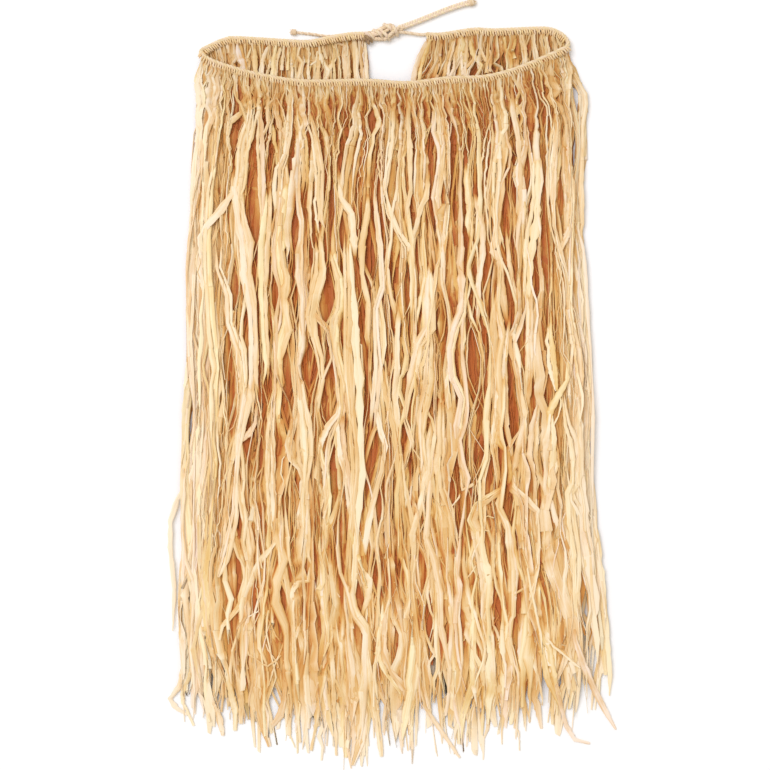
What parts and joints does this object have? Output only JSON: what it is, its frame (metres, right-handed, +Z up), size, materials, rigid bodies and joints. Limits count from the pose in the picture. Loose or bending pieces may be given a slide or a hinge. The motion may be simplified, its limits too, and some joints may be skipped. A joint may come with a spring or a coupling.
{
  "type": "grass skirt",
  "caption": "Raffia grass skirt laid flat and tied: a waist cord with a twined row of strands, a front panel over two back panels, and a knotted tie.",
  "frame": {"origin": "on the surface the skirt lies on, under the middle of its bounding box without the ties' free ends", "axes": "+X to the right of the laid-out skirt seen from above, +Y from the hem to the waist, +Z up off the surface"},
  "size_m": [0.5169, 0.9188, 0.0222],
  "materials": {
    "front_raffia": "dry split raffia, wheat to peach, fibrous, soft satin sheen, cream at the tips",
    "back_raffia": "the same dry raffia, a little deeper in tone where it lies underneath",
    "twining": "row of strand loops drawn tight under the cord, matt tan",
    "plait": "twisted and plaited raffia cord, matt straw colour"
  },
  "bodies": {
    "root": {"back_left_hank_01": "back_raffia", "back_left_hank_02": "back_raffia", "back_left_hank_03": "back_raffia", "back_left_hank_04": "back_raffia", "back_left_hank_05": "back_raffia", "back_left_row": "twining", "back_right_hank_01": "back_raffia", "back_right_hank_02": "back_raffia", "back_right_hank_03": "back_raffia", "back_right_hank_04": "back_raffia", "back_right_hank_05": "back_raffia", "back_right_row": "twining", "front_hank_01": "front_raffia", "front_hank_02": "front_raffia", "front_hank_03": "front_raffia", "front_hank_04": "front_raffia", "front_hank_05": "front_raffia", "front_hank_06": "front_raffia", "front_hank_07": "front_raffia", "front_hank_08": "front_raffia", "front_hank_09": "front_raffia", "front_hank_10": "front_raffia", "front_hank_11": "front_raffia", "front_hank_12": "front_raffia", "front_row": "twining", "tie_knot": "plait", "tie_left_span": "plait", "tie_plaited_end": "plait", "tie_plaited_tip": "plait", "tie_right_span": "plait", "tie_thin_end": "plait", "tie_thin_tip": "plait", "waist_cord": "plait"}
  },
  "joints": []
}
